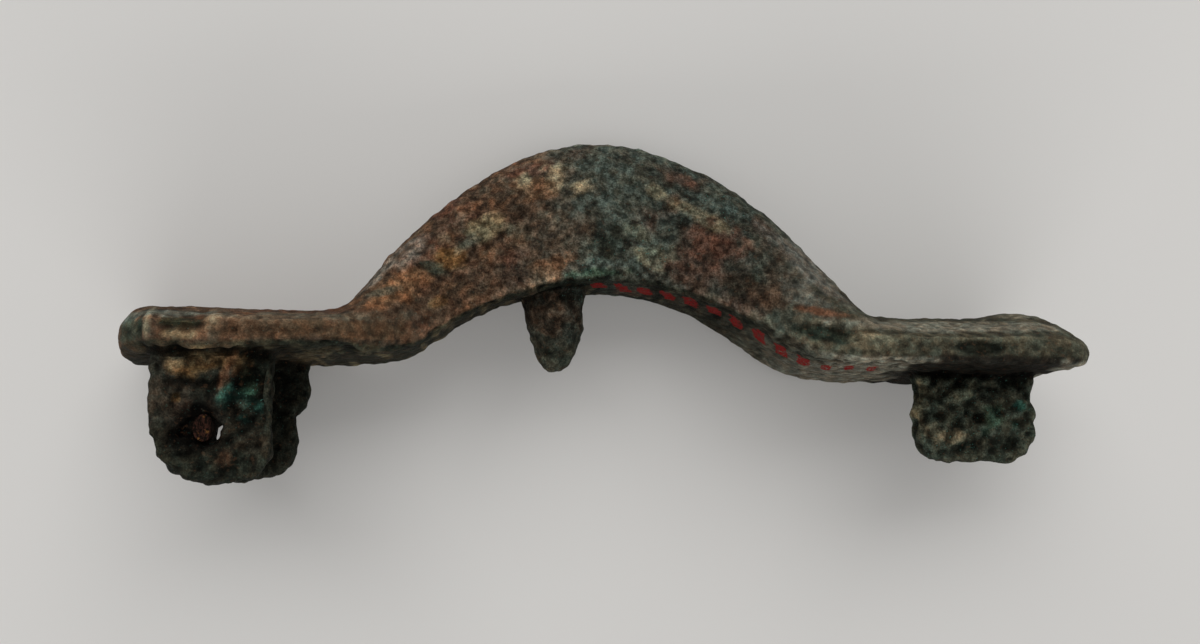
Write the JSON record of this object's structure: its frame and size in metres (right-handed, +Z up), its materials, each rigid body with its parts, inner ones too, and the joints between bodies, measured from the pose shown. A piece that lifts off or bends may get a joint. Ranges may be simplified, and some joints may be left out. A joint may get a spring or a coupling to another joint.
{
  "type": "bow brooch",
  "caption": "Cast copper-alloy bow brooch lying on its side: arched bow, two plates, two axle lugs with a bore, catch-plate and a broken stub; the pin is lost.",
  "frame": {"origin": "middle of the brooch's outline on the surface that it lies on", "axes": "+X along the brooch from the lugs' end to the catch-plate's end, +Y towards the crown of the bow, +Z up from the surface"},
  "size_m": [0.0736, 0.026, 0.016],
  "materials": {
    "patinated_bronze": "matt brown and grey-green patina, pitted, with turquoise specks",
    "rusted_iron": "rusted, matt"
  },
  "bodies": {
    "root": {"casting": "patinated_bronze", "axle_stub": "rusted_iron"}
  },
  "joints": []
}
